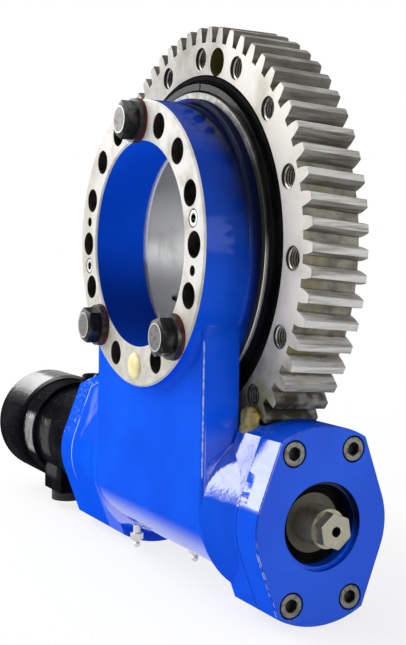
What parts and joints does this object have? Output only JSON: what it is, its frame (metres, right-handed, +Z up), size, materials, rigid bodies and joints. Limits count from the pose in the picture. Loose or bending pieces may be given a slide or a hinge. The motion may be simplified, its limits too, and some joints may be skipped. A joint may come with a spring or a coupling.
{
  "type": "slewing drive",
  "caption": "Worm-driven slewing drive: a toothed steel bearing ring behind a blue cast housing, with a hydraulic motor at one end of the worm and a hexagon drive end at the other.",
  "frame": {"origin": "centre of the machined ring face at the front of the barrel", "axes": "+Z up, away from the worm; the ring's axis is Y and the ring face looks along -Y; +X along the worm's axis from the motor to the hexagon drive end"},
  "size_m": [0.5248, 0.1417, 0.4042],
  "materials": {
    "blue_paint": "gloss",
    "steel": "satin",
    "motor_paint": "satin",
    "black_steel": "satin",
    "rubber": "satin",
    "black_plastic": "matte",
    "cream_plastic": "satin",
    "red_fibre": "matte"
  },
  "bodies": {
    "frame": {"housing": "blue_paint", "inner_ring": "steel", "ring_bolts": "black_steel", "bolt_washers": "black_steel", "fibre_washers": "red_fibre", "hole_plug": "cream_plastic", "port_plugs": "steel", "end_cover": "blue_paint", "cover_screws": "black_steel", "shaft_seal": "rubber", "right_cup": "steel", "left_cup": "steel", "motor_adapter": "blue_paint", "motor_plate": "blue_paint", "plate_screws": "black_steel", "adapter_seal": "rubber", "motor_housing": "motor_paint", "gerotor_ring": "motor_paint", "valve_section": "motor_paint", "long_screws": "black_steel", "motor_bolts": "black_steel", "port_caps": "black_plastic", "drain_plug": "black_steel", "grease_nipples": "steel"},
    "ring": {"gear_ring": "steel", "front_seal": "rubber", "seal_retainer": "black_steel", "back_seal": "rubber"},
    "ball_set": {"balls": "steel", "ball_spacers": "cream_plastic"},
    "worm": {"worm_shaft": "steel", "right_cone": "steel", "left_cone": "steel", "motor_shaft": "steel", "shaft_key": "steel"},
    "right_roller_set": {"right_rollers": "steel"},
    "left_roller_set": {"left_rollers": "steel"}
  },
  "joints": [
    {"name": "ring_spin", "type": "hinge", "parent": "frame", "child": "ring", "pos_m": [0, 0.0676, 0], "axis": [0, 1, 0], "continuous": true},
    {"name": "worm_spin", "type": "hinge", "parent": "frame", "child": "worm", "pos_m": [0, 0.0676, -0.1805], "axis": [1, 0, 0], "continuous": true},
    {"name": "ball_roll", "type": "hinge", "parent": "frame", "child": "ball_set", "pos_m": [0, 0.0676, 0], "axis": [0, 1, 0], "continuous": true},
    {"name": "right_roller_spin", "type": "hinge", "parent": "frame", "child": "right_roller_set", "pos_m": [0.1045, 0.0676, -0.1805], "axis": [1, 0, 0], "continuous": true},
    {"name": "left_roller_spin", "type": "hinge", "parent": "frame", "child": "left_roller_set", "pos_m": [-0.1045, 0.0676, -0.1805], "axis": [1, 0, 0], "continuous": true}
  ],
  "couplings": [
    {"joint": "worm_spin", "follows": "ring_spin", "ratio": 61},
    {"joint": "ball_roll", "follows": "ring_spin", "ratio": 0.528},
    {"joint": "right_roller_spin", "follows": "ring_spin", "ratio": 26.9},
    {"joint": "left_roller_spin", "follows": "ring_spin", "ratio": 26.9}
  ]
}
